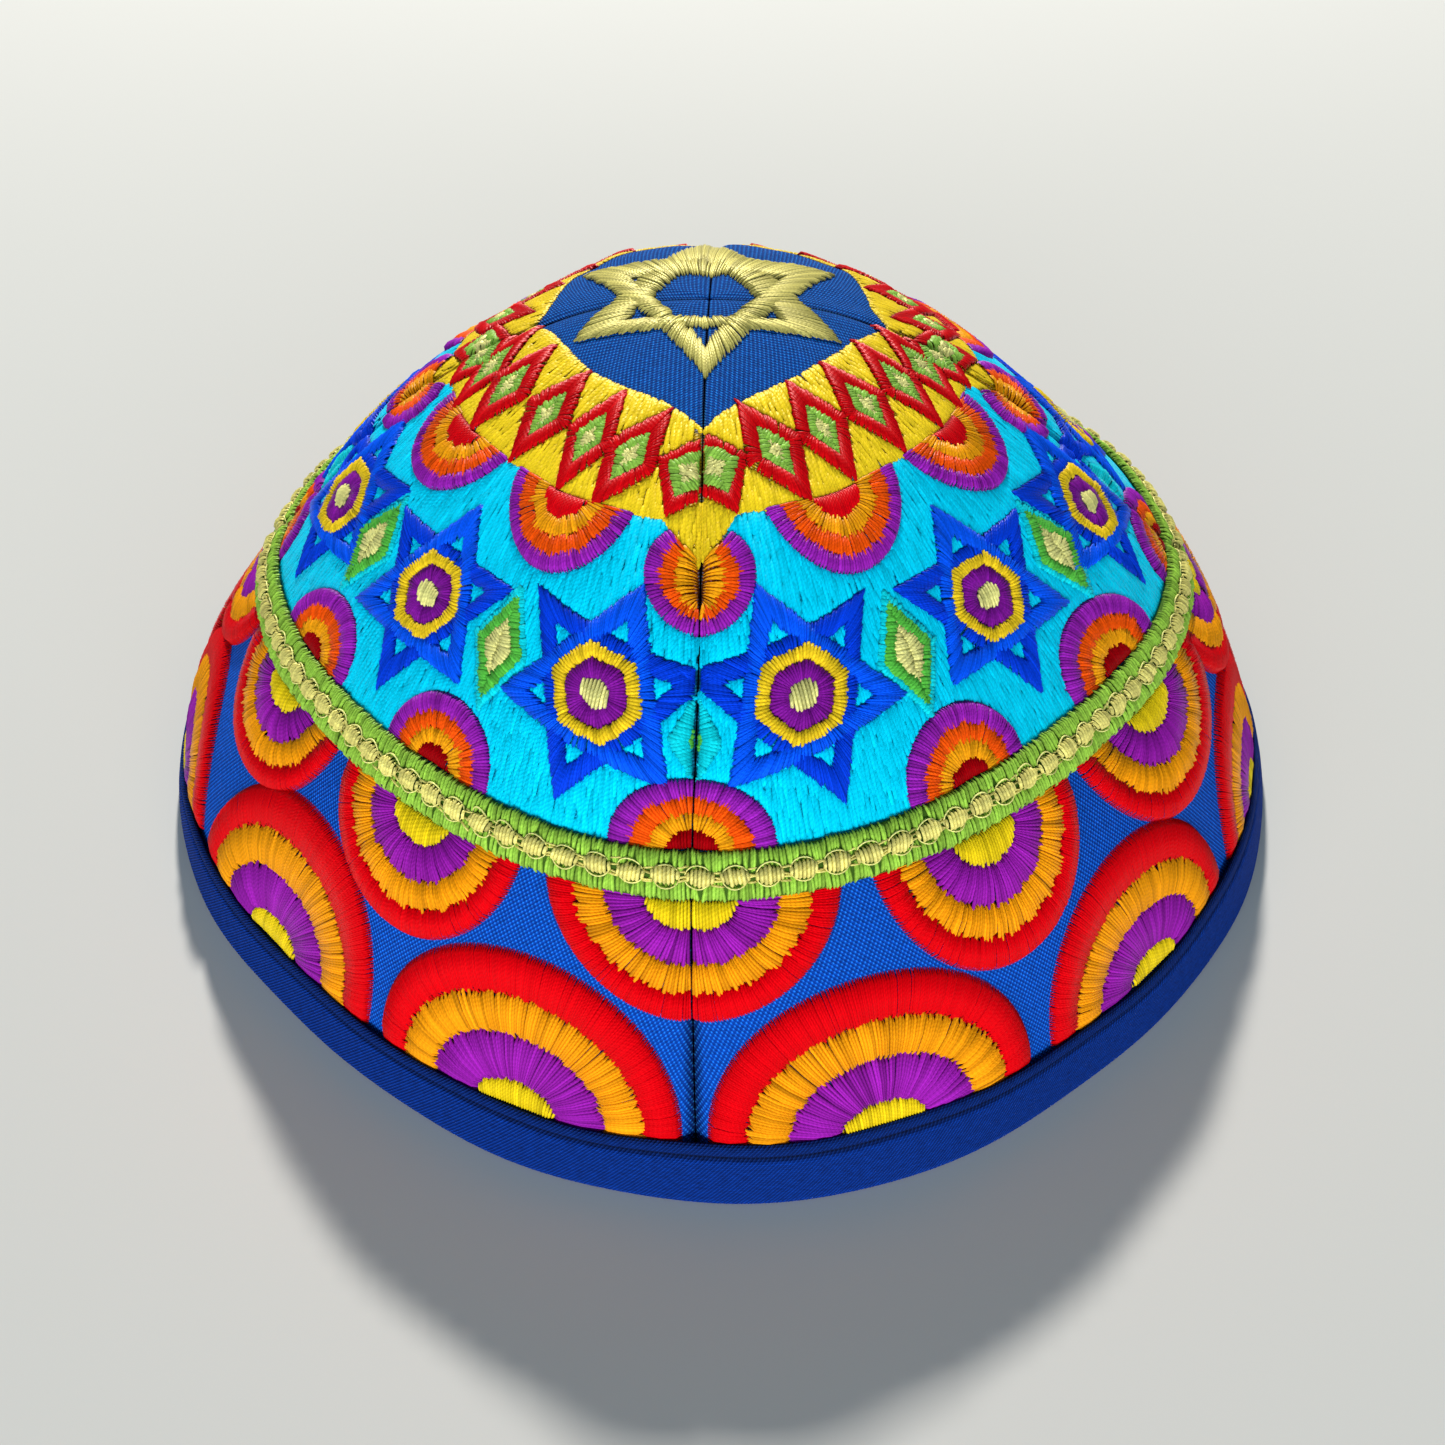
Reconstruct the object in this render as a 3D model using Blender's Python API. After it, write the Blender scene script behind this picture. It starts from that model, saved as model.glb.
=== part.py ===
"""Kippah: four embroidered cloth panels sewn to a dome, a braid trim round it and a bound rim.

Metres, +Z up. The origin is the middle of the rim, on the surface that the cap rests on.
The four seams run down over the X and Y axes, and the front seam faces -Y. An azimuth is
measured from the front seam towards +X, and a place down a panel is its share of the way
from the crown (0) to the rim (1).
"""

import math

import bmesh
import bpy
import numpy as np

# Driving dimensions
RIM_RADIUS = 0.0839         # panels' outer face at the rim, under the binding
CROWN_HEIGHT = 0.0792       # panels' outer face at the crown, above the floor
PANEL_WALL = 0.0020         # ground cloth with its embroidery and backing threads
CLEARANCE = 0.0003          # gap kept between pieces that are sewn together
CROWN_LEAN = -0.0015        # how far the soft crown leans along X

SEAM_DROP = 0.0006          # how deep the outer face is drawn in along a seam
SEAM_DRAW = math.radians(1.6)   # how far from a seam the outer face is drawn in

BRAID_HEIGHT = 0.0402       # middle of the braid above the floor
BRAID_WIDTH = 0.0066
BRAID_THICKNESS = 0.0011
BRAID_ROUNDING = 0.0009     # how much its long edges are rounded over

BINDING_HEIGHT = 0.0088     # folded tape, on the outside and on the inside
BINDING_THICKNESS = 0.0008
BINDING_ROUNDING = 0.0005   # at the two bottom folds

# Numbers of facets
PANEL_ROWS = 22
PANEL_COLUMNS = 16
QUARTER = math.pi / 2

# Sections of the dome: place down the panel, mean radius as a share of RIM_RADIUS, height as
# a share of CROWN_HEIGHT, and how far the corners at the seams stand out and the middles of
# the panels stand in, as a share of the radius.
PROFILE_COLUMNS = ("place", "radius", "height", "squareness")
PROFILE = (
    (0.000, 0.000, 1.000, 0.000),
    (0.195, 0.281, 0.947, 0.009),
    (0.328, 0.451, 0.846, 0.029),
    (0.460, 0.601, 0.708, 0.047),
    (0.574, 0.717, 0.580, 0.037),
    (0.635, 0.773, 0.508, 0.031),
    (0.752, 0.869, 0.355, 0.020),
    (0.890, 0.956, 0.162, 0.020),
    (1.000, 1.000, 0.000, 0.020),
)

# Colour, roughness
PANEL_FINISHES = {
    "panel_front_left": ((0.010, 0.110, 0.520), 0.82),
    "panel_front_right": ((0.010, 0.115, 0.530), 0.82),
    "panel_back_right": ((0.012, 0.105, 0.500), 0.84),
    "panel_back_left": ((0.012, 0.108, 0.510), 0.84),
}
# Each of these lies a quarter turn further round the cap than the one before it.
PANELS_IN_ORDER = ("panel_front_right", "panel_back_right", "panel_back_left", "panel_front_left")
BRAID_FINISH = ((0.280, 0.520, 0.080), 0.70)
BINDING_FINISH = ((0.004, 0.020, 0.110), 0.78)


def profile_value(place, column):
    """Smooth curve through one column of PROFILE, with the crown mirrored to lie level."""
    rows = [dict(zip(PROFILE_COLUMNS, row)) for row in PROFILE]
    knots = np.array([-rows[1]["place"]] + [row["place"] for row in rows])
    sign = -1.0 if column == "radius" else 1.0
    values = np.array([sign * rows[1][column]] + [row[column] for row in rows])
    slopes = np.gradient(values, knots)
    span = int(np.clip(np.searchsorted(knots, place) - 1, 0, len(knots) - 2))
    width = knots[span + 1] - knots[span]
    t = (place - knots[span]) / width
    return ((1 + 2 * t) * (1 - t) ** 2 * values[span]
            + t * (1 - t) ** 2 * width * slopes[span]
            + t * t * (3 - 2 * t) * values[span + 1]
            + t * t * (t - 1) * width * slopes[span + 1])


def place_at_height(height):
    """Place down a panel where its outer face is at a height above the floor."""
    places = np.linspace(0.0, 1.0, 401)
    heights = [CROWN_HEIGHT * profile_value(place, "height") for place in places]
    return float(np.interp(-height, [-value for value in heights], places))


def radius_at(azimuth, place):
    """Radius of the panels' outer face, a rounded square with its corners at the seams."""
    square = profile_value(place, "squareness") * math.cos(4 * azimuth)
    return RIM_RADIUS * profile_value(place, "radius") * (1 + square)


def face_point(azimuth, place):
    """Point on the panels' outer face, before the crown leans."""
    radius = radius_at(azimuth, place)
    height = CROWN_HEIGHT * profile_value(place, "height")
    return np.array((radius * math.sin(azimuth), -radius * math.cos(azimuth), height))


def face_frame(azimuth, place):
    """Point on the outer face, the direction down the panel and the direction out of it."""
    step = 1e-4
    point = face_point(azimuth, place)
    down = face_point(azimuth, place + step) - face_point(azimuth, place - step)
    along = face_point(azimuth + step, place) - face_point(azimuth - step, place)
    out = np.cross(down, along)
    return point, down / np.linalg.norm(down), out / np.linalg.norm(out)


def leaning(point):
    """The point where the soft crown's lean takes it."""
    x, y, z = point
    return x + CROWN_LEAN * z / CROWN_HEIGHT, y, z


def finish(name, colour, roughness):
    material = bpy.data.materials.new(name + "_cloth")
    material.use_nodes = True
    shader = material.node_tree.nodes["Principled BSDF"]
    shader.inputs["Base Color"].default_value = (*colour, 1.0)
    shader.inputs["Roughness"].default_value = roughness
    shader.inputs["Metallic"].default_value = 0.0
    return material


def add_object(name, points, faces, colour, roughness):
    """One closed, smoothly shaded body with its own material."""
    mesh = bpy.data.meshes.new(name)
    mesh.from_pydata([leaning(point) for point in points], [], faces)
    body = bmesh.new()
    body.from_mesh(mesh)
    bmesh.ops.recalc_face_normals(body, faces=body.faces)
    body.to_mesh(mesh)
    body.free()
    mesh.shade_smooth()
    mesh.set_sharp_from_angle(angle=math.radians(35))
    mesh.materials.append(finish(name, colour, roughness))
    piece = bpy.data.objects.new(name, mesh)
    bpy.context.collection.objects.link(piece)
    return piece


def column_azimuths():
    """Azimuths of one quarter's columns, with a close pair at each seam for its drawn-in edge."""
    inner = np.linspace(SEAM_DRAW, QUARTER - SEAM_DRAW, PANEL_COLUMNS - 1)
    return [0.0, *inner, QUARTER]


def panel_point(azimuth, place, depth):
    """Point of the front right panel, kept half a clearance off both seam planes."""
    edge = CLEARANCE / 2
    at_seam = azimuth in (0.0, QUARTER)
    point, _, out = face_frame(azimuth, place)
    if at_seam and depth == 0.0:
        depth = SEAM_DROP
    x, y, z = point - depth * out
    return np.array((max(x, edge), min(y, -edge), z))


def panel_shell():
    """Points and faces of the front right panel, from its tip at the crown to its foot."""
    foot_height = BINDING_THICKNESS + CLEARANCE
    places = np.linspace(0.0, place_at_height(foot_height), PANEL_ROWS + 1)[1:]
    azimuths = column_azimuths()
    columns = len(azimuths)
    edge = CLEARANCE / 2
    tip_height = CROWN_HEIGHT - SEAM_DROP
    points = [np.array((edge, -edge, tip_height)),
              np.array((edge, -edge, CROWN_HEIGHT - PANEL_WALL))]
    for depth in (0.0, PANEL_WALL):
        for place in places:
            for azimuth in azimuths:
                point = panel_point(azimuth, place, depth)
                if place == places[-1]:
                    point[2] = foot_height
                points.append(point)

    def index(face, row, column):
        return 2 + (face * PANEL_ROWS + row) * columns + column

    faces = []
    for face in (0, 1):
        for column in range(columns - 1):
            faces.append((face, index(face, 0, column), index(face, 0, column + 1)))
            for row in range(PANEL_ROWS - 1):
                faces.append((index(face, row, column), index(face, row, column + 1),
                              index(face, row + 1, column + 1), index(face, row + 1, column)))
    for column in (0, columns - 1):
        faces.append((0, 1, index(1, 0, column), index(0, 0, column)))
        for row in range(PANEL_ROWS - 1):
            faces.append((index(0, row, column), index(1, row, column),
                          index(1, row + 1, column), index(0, row + 1, column)))
    last = PANEL_ROWS - 1
    for column in range(columns - 1):
        faces.append((index(0, last, column), index(0, last, column + 1),
                      index(1, last, column + 1), index(1, last, column)))
    return points, faces


def quarter_turned(point, turns):
    """The point turned about the cap's axis by a number of quarter turns."""
    x, y, z = point
    for _ in range(turns):
        x, y = -y, x
    return np.array((x, y, z))


def add_panels():
    points, faces = panel_shell()
    for turns, name in enumerate(PANELS_IN_ORDER):
        colour, roughness = PANEL_FINISHES[name]
        turned = [quarter_turned(point, turns) for point in points]
        add_object(name, turned, faces, colour, roughness)


def ring(section):
    """Points and faces of a closed ring, whose section is a function of the azimuth."""
    azimuths = [turn * QUARTER + azimuth
                for turn in range(4) for azimuth in column_azimuths()[:-1]]
    sections = [section(azimuth) for azimuth in azimuths]
    size = len(sections[0])
    points = [point for one in sections for point in one]
    faces = []
    for number in range(len(azimuths)):
        following = (number + 1) % len(azimuths)
        for corner in range(size):
            other = (corner + 1) % size
            faces.append((number * size + corner, number * size + other,
                          following * size + other, following * size + corner))
    return points, faces


def braid_section(azimuth):
    """Flat braid lying on the panels, with rounded long edges."""
    point, down, out = face_frame(azimuth, place_at_height(BRAID_HEIGHT))
    half = BRAID_WIDTH / 2
    under = CLEARANCE
    top = CLEARANCE + BRAID_THICKNESS
    shoulder = top - BRAID_ROUNDING / 2
    outline = ((-half, under), (-half, shoulder), (BRAID_ROUNDING - half, top),
               (half - BRAID_ROUNDING, top), (half, shoulder), (half, under))
    return [point + along * down + off * out for along, off in outline]


def binding_section(azimuth):
    """Tape folded round the panels' foot, up both their faces, with a flat underside."""
    near_out = CLEARANCE
    far_out = CLEARANCE + BINDING_THICKNESS
    near_in = -PANEL_WALL - CLEARANCE
    far_in = near_in - BINDING_THICKNESS
    top = BINDING_HEIGHT
    middle = BINDING_HEIGHT / 2
    fold = BINDING_THICKNESS
    outline = (
        (top, near_out), (top, far_out), (middle, far_out), (fold, far_out),
        (0.0, far_out - BINDING_ROUNDING), (0.0, far_in + BINDING_ROUNDING),
        (fold, far_in), (middle, far_in), (top, far_in),
        (top, near_in), (middle, near_in), (fold, near_in),
        (fold, near_out), (middle, near_out),
    )
    points = []
    for height, off in outline:
        point, _, out = face_frame(azimuth, place_at_height(height))
        level = np.array((out[0], out[1], 0.0))
        points.append(point + off * level / np.linalg.norm(level))
    return points


def add_rings():
    for name, section, (colour, roughness) in (
        ("braid_trim", braid_section, BRAID_FINISH),
        ("rim_binding", binding_section, BINDING_FINISH),
    ):
        points, faces = ring(section)
        add_object(name, points, faces, colour, roughness)


def clear_scene():
    for item in list(bpy.data.objects):
        bpy.data.objects.remove(item)


clear_scene()
add_panels()
add_rings()
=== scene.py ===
"""Looks of the embroidered kippah: cloth, stitches, braid, binding, floor, light and camera.

Lengths are millimetres and angles degrees until a point is made, which is in metres. A place on
the dome is an azimuth, from the front seam towards +X, and an arc, the way down from the crown.
"""

import math

import bpy
import numpy as np
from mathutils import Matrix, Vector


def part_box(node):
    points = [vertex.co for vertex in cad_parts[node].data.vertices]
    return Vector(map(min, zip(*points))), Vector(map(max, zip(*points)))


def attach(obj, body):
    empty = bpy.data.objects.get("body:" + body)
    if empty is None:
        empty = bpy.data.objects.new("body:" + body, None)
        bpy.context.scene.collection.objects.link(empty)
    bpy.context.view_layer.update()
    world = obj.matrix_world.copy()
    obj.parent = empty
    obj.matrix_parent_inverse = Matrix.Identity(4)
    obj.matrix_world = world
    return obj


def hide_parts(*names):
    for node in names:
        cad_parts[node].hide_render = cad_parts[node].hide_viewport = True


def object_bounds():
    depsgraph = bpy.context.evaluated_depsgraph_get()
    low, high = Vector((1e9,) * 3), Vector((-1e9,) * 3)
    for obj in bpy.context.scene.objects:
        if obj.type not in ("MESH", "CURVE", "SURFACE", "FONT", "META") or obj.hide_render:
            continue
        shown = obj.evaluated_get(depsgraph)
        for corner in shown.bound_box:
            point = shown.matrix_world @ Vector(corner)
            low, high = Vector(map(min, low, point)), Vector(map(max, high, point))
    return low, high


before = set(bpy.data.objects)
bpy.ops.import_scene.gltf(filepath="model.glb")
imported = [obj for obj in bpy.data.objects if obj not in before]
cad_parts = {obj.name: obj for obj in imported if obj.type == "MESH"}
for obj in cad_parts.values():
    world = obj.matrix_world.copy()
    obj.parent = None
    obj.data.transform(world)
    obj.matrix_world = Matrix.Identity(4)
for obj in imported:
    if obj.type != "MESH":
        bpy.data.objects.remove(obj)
cad_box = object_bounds()

MM = 0.001
rng = np.random.default_rng(11)

# Layers of the cap, measured out of the panels' face in the frame
CLOTH_OUT = -0.45           # outer face of the ground cloth
WALL = 2.0
TAPE = 0.8                  # thickness of the rim tape
GAP = 0.3
TAPE_TOP = 8.8              # height of the tape above the floor
LEAN = -2.4                 # how far the crown leans along X
CROWN_CUT = 0.21            # from the frame's highest point to the smooth crown
RIM_SQUARENESS = 0.020

# Sections of the dome: place, mean radius, height and squareness, as shares
PROFILE = np.array((
    (0.000, 0.000, 1.000, 0.000),
    (0.195, 0.281, 0.947, 0.009),
    (0.328, 0.451, 0.846, 0.029),
    (0.460, 0.601, 0.708, 0.047),
    (0.574, 0.717, 0.580, 0.037),
    (0.635, 0.773, 0.508, 0.031),
    (0.752, 0.869, 0.355, 0.020),
    (0.890, 0.956, 0.162, 0.020),
    (1.000, 1.000, 0.000, RIM_SQUARENESS),
))


def box_mm(node):
    low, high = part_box(node)
    return np.array(low) / MM, np.array(high) / MM


rim_low, rim_high = box_mm("rim_binding")
RIM_RADIUS = ((rim_high[0] - rim_low[0]) / 2 - TAPE - GAP) / (1 + RIM_SQUARENESS)
CROWN_HEIGHT = cad_box[1][2] / MM + CROWN_CUT


def smooth_column(places, column):
    """Smooth curve through a column of PROFILE, level where it crosses the crown."""
    sign = -1.0 if column == 1 else 1.0
    knots = np.append(-PROFILE[1, 0], PROFILE[:, 0])
    values = np.append(sign * PROFILE[1, column], PROFILE[:, column])
    slopes = np.gradient(values, knots)
    span = np.clip(np.searchsorted(knots, places) - 1, 0, len(knots) - 2)
    width = knots[span + 1] - knots[span]
    t = (places - knots[span]) / width
    return ((1 + 2 * t) * (1 - t) ** 2 * values[span]
            + t * (1 - t) ** 2 * width * slopes[span]
            + t * t * (3 - 2 * t) * values[span + 1]
            + t * t * (t - 1) * width * slopes[span + 1])


PLACES = np.linspace(0.0, 1.0, 1201)
RADII = RIM_RADIUS * smooth_column(PLACES, 1)
HEIGHTS = CROWN_HEIGHT * smooth_column(PLACES, 2)
SQUARES = smooth_column(PLACES, 3)
ARCS = np.append(0.0, np.cumsum(np.hypot(np.diff(RADII), np.diff(HEIGHTS))))
RADIUS_SLOPES = np.gradient(RADII, ARCS)
HEIGHT_SLOPES = np.gradient(HEIGHTS, ARCS)
SQUARE_SLOPES = np.gradient(SQUARES, ARCS)
RIM_ARC = ARCS[-1]


def radius(arc):
    return np.interp(arc, ARCS, RADII)


def arc_at_height(height):
    return np.interp(-np.asarray(height), -HEIGHTS, ARCS)


def seam_turn(arc):
    """How far the seams wander round the cap on their way down, in degrees."""
    return -1.0 * smooth_step(np.asarray(arc), 36, 86)


def smooth_step(value, start, end):
    t = np.clip((value - start) / (end - start), 0, 1)
    return t * t * (3 - 2 * t)


def hollow(turn, arc, azimuth, middle, wide, tall):
    """Share of a soft hollow's depth at a place; azimuth and wide are in degrees."""
    away = np.degrees((turn - math.radians(azimuth) + math.pi) % (2 * math.pi) - math.pi)
    return np.exp(-(away / wide) ** 2 - ((arc - middle) / tall) ** 2)


def unevenness(turn, arc):
    """Soft unevenness of the sewn cap, in mm, for an azimuth in radians."""
    fade = np.clip(arc / 30, 0, 1)
    crown = (1.0 * np.exp(-(arc / 24) ** 2)
             + 0.4 * (1 - np.cos(turn)) * np.exp(-((arc - 18) / 10) ** 2))
    rim = (-0.30 * np.cos(turn) - 0.20 * np.cos(2 * turn) - 0.95 * np.sin(turn)
           - 0.16 * np.sin(2 * turn) + 1.10 * np.sin(3 * turn) - 0.33 * np.sin(4 * turn))
    sides = -2.3 * hollow(turn, arc, -100, 68, 24, 20) - 1.8 * hollow(turn, arc, 106, 65, 24, 18)
    sides = sides - 1.3 * hollow(turn, arc, 180, 37, 55, 11)
    return sides + crown + rim * smooth_step(arc, 84, 112) + fade * (
        0.22 * np.sin(5 * turn + 0.6 + arc / 19)
        + 0.17 * np.sin(9 * turn + 2.1 - arc / 13)
        + 0.10 * np.sin(17 * turn + 4.0 + arc / 8))


def seam_distance(turn, arc):
    quarter = math.pi / 2
    turn = turn - np.radians(seam_turn(arc))
    return radius(arc) * np.abs(turn - quarter * np.round(turn / quarter))


def groove(turn, arc):
    """How deep a seam draws the cloth in, in mm."""
    depth = 0.30 + 0.75 * np.clip((arc - 15) / 25, 0, 1)
    return depth * np.exp(-(seam_distance(turn, arc) / 0.95) ** 2)


def dome(azimuth, arc, out=0.0, seams=True):
    """Points in metres and the directions out, for azimuths in degrees and arcs in mm."""
    turn = np.radians(azimuth)
    arc = np.asarray(arc, float)
    square = np.interp(arc, ARCS, SQUARES)
    bulge = 1 + square * np.cos(4 * turn)
    far = radius(arc)
    slope = (np.interp(arc, ARCS, RADIUS_SLOPES) * bulge
             + far * np.interp(arc, ARCS, SQUARE_SLOPES) * np.cos(4 * turn))
    swing = -4 * far * square * np.sin(4 * turn)
    away = far * bulge
    sine, cosine = np.sin(turn), np.cos(turn)
    height = np.interp(arc, ARCS, HEIGHTS)
    fall = np.interp(arc, ARCS, HEIGHT_SLOPES)
    down = np.stack((slope * sine, -slope * cosine, fall + 0 * turn), -1)
    along = np.stack((swing * sine + away * cosine, -swing * cosine + away * sine, 0 * turn + 0 * arc), -1)
    along[far < 1e-6] = (1.0, 0.0, 0.0)
    normal = np.cross(down, along)
    normal /= np.maximum(np.linalg.norm(normal, axis=-1, keepdims=True), 1e-9)
    normal[normal[..., 2] < 0] *= -1
    point = np.stack((away * sine, -away * cosine, height + 0 * turn), -1)
    lift = out + unevenness(turn, arc)
    if seams:
        lift = lift - groove(turn, arc)
    point = point + normal * np.asarray(lift)[..., None]
    point[..., 0] += LEAN * point[..., 2] / CROWN_HEIGHT
    return point * MM, normal


def linear(red, green, blue):
    """Linear colour of a screen colour whose channels run to 255."""
    channels = np.array((red, green, blue)) / 255
    return np.where(channels <= 0.04045, channels / 12.92, ((channels + 0.055) / 1.055) ** 2.4)


# Threads: colour, spacing, thickness, and how much the stitches' brightness varies
THREADS = {
    "red": (linear(226, 2, 14), 0.30, 0.14, 0.05),
    "orange": (linear(255, 162, 16), 0.37, 0.26, 0.15),
    "purple": (linear(158, 31, 170), 0.35, 0.24, 0.17),
    "core_yellow": (linear(244, 210, 24), 0.39, 0.26, 0.14),
    "flame": (linear(252, 88, 12), 0.38, 0.24, 0.14),
    "amber": (linear(255, 168, 20), 0.39, 0.26, 0.14),
    "dark_red": (linear(158, 2, 10), 0.34, 0.16, 0.08),
    "fan_red": (linear(222, 6, 18), 0.32, 0.14, 0.06),
    "fan_purple": (linear(158, 36, 178), 0.37, 0.24, 0.18),
    "turquoise": (linear(2, 220, 255), 0.36, 0.13, 0.09),
    "teal": (linear(14, 214, 226), 0.38, 0.18, 0.10),
    "royal": (linear(10, 92, 246), 0.37, 0.24, 0.15),
    "deep_royal": (linear(8, 66, 222), 0.37, 0.24, 0.15),
    "yellow": (linear(255, 216, 34), 0.36, 0.14, 0.08),
    "ring_yellow": (linear(246, 206, 36), 0.45, 0.30, 0.14),
    "ring_purple": (linear(132, 26, 150), 0.42, 0.26, 0.17),
    "lattice_red": (linear(212, 10, 18), 0.42, 0.24, 0.10),
    "green": (linear(160, 206, 74), 0.42, 0.30, 0.18),
    "leaf_green": (linear(88, 184, 66), 0.38, 0.24, 0.13),
    "pale_green": (linear(144, 192, 74), 0.38, 0.24, 0.14),
    "pale_gold": (linear(236, 228, 142), 0.40, 0.30, 0.14),
    "star_gold": (linear(212, 200, 112), 0.40, 0.30, 0.19),
    "braid_gold": (linear(240, 226, 128), 0.44, 0.34, 0.14),
}
METALLIC = ("pale_gold", "star_gold", "braid_gold")
OVERLAP = 1.18              # width of a stitch over the spacing of its row
EDGE_SHADE = 2.25           # how much darker a stitch's long edges are, over what it varies

stitch_rows = {"thread": [], "gold": []}


def sew(azimuth_a, arc_a, azimuth_b, arc_b, thread, rise=0.55, base=CLOTH_OUT, flare=(1.0, 1.0)):
    """Keep stitches from places a to places b; flare is their ends' widths over the usual one."""
    colour, spacing, thick, varies = THREADS[thread]
    azimuth_a, arc_a, azimuth_b, arc_b = np.broadcast_arrays(azimuth_a, arc_a, azimuth_b, arc_b)
    count = azimuth_a.size
    azimuth_b = azimuth_a + (azimuth_b - azimuth_a + 180) % 360 - 180
    tint = np.clip(1 + varies * rng.normal(size=(count, 1)), 0.55, 1.4) * colour
    width = OVERLAP * spacing * rng.uniform(0.9, 1.1, count)
    rows = np.column_stack((
        azimuth_a.ravel(), arc_a.ravel(), azimuth_b.ravel(), arc_b.ravel(),
        width * flare[0], width * flare[1], np.full(count, base),
        rise + rng.uniform(-0.035, 0.035, count), np.full(count, thick), tint,
        np.full(count, 1 - EDGE_SHADE * varies)))
    stitch_rows["gold" if thread in METALLIC else "thread"].append(rows)


class Place:
    """Where a motif lies: its middle, the way that its width runs, its tilt and its limits."""

    def __init__(self, azimuth, arc, side=1, tilt=0.0, limits=(-180.0, 180.0)):
        self.azimuth, self.arc, self.side, self.limits = azimuth, arc, side, limits
        self.cosine, self.sine = math.cos(math.radians(tilt)), math.sin(math.radians(tilt))

    def spot(self, x, y):
        """Degrees from the middle, and the arc, of a point of the motif; y runs down the panel."""
        arc = self.arc - x * self.sine + y * self.cosine
        across = x * self.cosine + y * self.sine
        return np.degrees(across / radius(arc)), arc

    def local(self, azimuth, arc):
        """The motif's x and y of a place on the dome."""
        away = (azimuth - self.azimuth + 180) % 360 - 180
        across = self.side * np.radians(away) * radius(arc)
        down = arc - self.arc
        return across * self.cosine - down * self.sine, across * self.sine + down * self.cosine

    def sew(self, x_a, y_a, x_b, y_b, thread, **options):
        """Sew the stitches, each cut off at the limits."""
        turn_a, arc_a = self.spot(x_a, y_a)
        turn_b, arc_b = self.spot(x_b, y_b)
        kept_a, kept_b = np.clip(turn_a, *self.limits), np.clip(turn_b, *self.limits)
        keep = (turn_a == kept_a) | (turn_b == kept_b)
        slope = (arc_b - arc_a) / np.where(turn_b == turn_a, 1.0, turn_b - turn_a)
        end_a = self.azimuth + self.side * kept_a, arc_a + (kept_a - turn_a) * slope
        end_b = self.azimuth + self.side * kept_b, arc_b + (kept_b - turn_b) * slope
        sew(end_a[0][keep], end_a[1][keep], end_b[0][keep], end_b[1][keep], thread, **options)


def even_angles(half_width, height, spacing, sweep=90.0):
    """Angles from -sweep to sweep degrees that divide an oval's rim into even steps."""
    fine = np.radians(np.linspace(-sweep, sweep, 181))
    steps = np.hypot(half_width * np.cos(fine), height * np.sin(fine))
    way = np.append(0.0, np.cumsum((steps[1:] + steps[:-1]) / 2 * np.diff(fine)))
    count = max(4, int(way[-1] / spacing))
    return np.interp((np.arange(count) + 0.5) / count * way[-1], way, fine)


def oval_point(angle, half_width, height, way, lean):
    """Point of a half oval that hangs (way 1) or stands (way -1) on its flat side."""
    y = height * np.cos(angle)
    return half_width * np.sin(angle) + lean * y, way * y


def oval_rings(place, half_width, height, way, rings, rise, lean=0.0, sweep=90.0):
    """Rings of radial satin stitches round a core, from the outermost ring in."""
    for number, (thread, wide, tall) in enumerate(rings):
        if thread is None:
            continue
        spacing = THREADS[thread][1]
        if number + 1 < len(rings):
            in_wide, in_tall = rings[number + 1][1:]
            middle = (wide + in_wide) / 2
            angle = even_angles(half_width * middle, height * (tall + in_tall) / 2, spacing, sweep)
            angle = angle + rng.normal(0, 0.12, angle.size) * spacing / (half_width * middle)
            grow = rng.uniform(0.0, 1.25, angle.size) / half_width if number else 0.0
            deep = rng.uniform(0.2, 0.9, angle.size) / half_width
            if rings[number + 1][0] is None:
                deep *= 0.2
            low = np.clip(0.4 + height * middle * np.cos(angle) / 4, 0.4, 1) if sweep <= 90 else 1.0
            outer = oval_point(angle, half_width * (wide + grow), height * (tall + grow), way, lean)
            inner = oval_point(angle, half_width * (in_wide - deep), height * (in_tall - deep), way,
                               lean)
            place.sew(*inner, *outer, thread, rise=rise[number] * low,
                      flare=(in_wide / middle + 0.08, wide / middle + 0.05))
        else:
            reach = half_width * wide
            across = np.arange(-reach + spacing / 2, reach, spacing)
            deep = height * tall * np.sqrt(np.clip(1 - (across / reach) ** 2, 0.02, 1))
            deep = deep + rng.uniform(-0.1, 0.6, across.size)
            place.sew(across * 0.92, way * 0.1, across + lean * deep, way * deep, thread,
                      rise=rise[number])


def oval_test(half_width, height, way, lean=0.0, margin=-0.25):
    def inside(x, y):
        up = way * y
        x = x - lean * up
        wide, tall = half_width + margin, height + margin
        return (up > 0) & ((x / wide) ** 2 + (np.maximum(up, 0) / tall) ** 2 < 1)
    return inside


# Rings of the motifs, from outside in: thread and outer edge as shares of half width and height
RIM_RINGS = (("red", 1.0, 1.0), ("orange", 0.785, 0.72), ("purple", 0.56, 0.485),
             ("core_yellow", 0.26, 0.19))
HANGING_RINGS = (("red", 1.0, 1.0), ("orange", 0.79, 0.75), ("purple", 0.575, 0.53),
                 ("core_yellow", 0.31, 0.26))
BRAID_FAN_RINGS = (("fan_purple", 1.0, 1.0), ("flame", 0.73, 0.73), ("amber", 0.51, 0.51),
                   ("dark_red", 0.33, 0.31))
BAND_FAN_RINGS = (("fan_purple", 1.0, 1.0), ("flame", 0.80, 0.80), ("amber", 0.56, 0.57),
                  ("fan_red", 0.36, 0.36))
SEAM_FAN_RINGS = (("fan_purple", 1.0, 1.0), ("flame", 0.70, 0.74), ("amber", 0.44, 0.56),
                  (None, 0.06, 0.42))
RIM_RISE = (1.15, 1.08, 1.0, 0.85)
FAN_RISE = (0.80, 0.78, 0.75, 0.8)

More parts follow.
